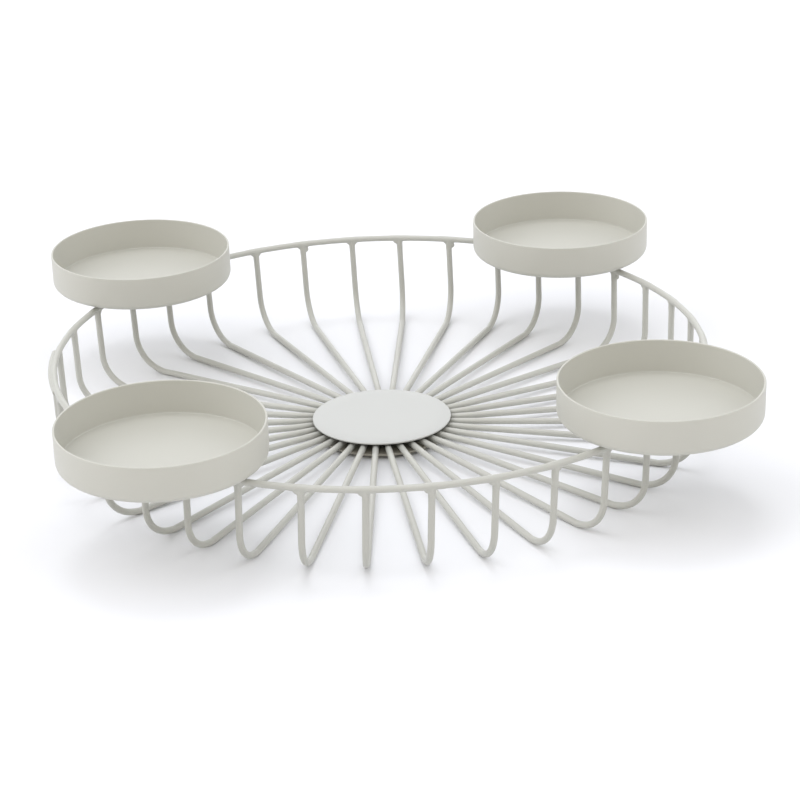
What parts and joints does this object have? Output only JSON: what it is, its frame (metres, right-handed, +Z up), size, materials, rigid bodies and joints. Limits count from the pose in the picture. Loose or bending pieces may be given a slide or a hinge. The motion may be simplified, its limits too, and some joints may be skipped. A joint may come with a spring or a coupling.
{
  "type": "metal advent wreath",
  "caption": "Round wire basket in painted metal whose rim ring carries shallow round cups for pillar candles, with bent spokes running in to a flat hub",
  "frame": {"origin": "the point on the surface that the wreath stands on, under the middle of the hub", "axes": "+Z up through the hub; the cups stand within a degree of the diagonals between +X, +Y, -X and -Y, and -Y is the front, nearest the viewer in the picture"},
  "size_m": [0.3083, 0.3082, 0.0627],
  "materials": {
    "wire": "satin powder coat, warm light grey",
    "cup": "satin powder coat, warm light grey",
    "hub": "satin powder coat, warm light grey"
  },
  "bodies": {
    "root": {"rim_ring": "wire", "spoke_01": "wire", "spoke_02": "wire", "spoke_03": "wire", "spoke_04": "wire", "spoke_05": "wire", "spoke_06": "wire", "spoke_07": "wire", "spoke_08": "wire", "spoke_09": "wire", "spoke_10": "wire", "spoke_11": "wire", "spoke_12": "wire", "spoke_13": "wire", "spoke_14": "wire", "spoke_15": "wire", "spoke_16": "wire", "spoke_17": "wire", "spoke_18": "wire", "spoke_19": "wire", "spoke_20": "wire", "spoke_21": "wire", "spoke_22": "wire", "spoke_23": "wire", "spoke_24": "wire", "spoke_25": "wire", "spoke_26": "wire", "spoke_27": "wire", "spoke_28": "wire", "spoke_29": "wire", "spoke_30": "wire", "spoke_31": "wire", "spoke_32": "wire", "spoke_33": "wire", "spoke_34": "wire", "spoke_35": "wire", "spoke_36": "wire", "candle_cup_front_left": "cup", "candle_cup_front_right": "cup", "candle_cup_back_right": "cup", "candle_cup_back_left": "cup", "cup_seat_front_left": "cup", "cup_seat_front_right": "cup", "cup_seat_back_right": "cup", "cup_seat_back_left": "cup", "hub_top_disc": "hub", "hub_base_plate": "hub"}
  },
  "joints": []
}
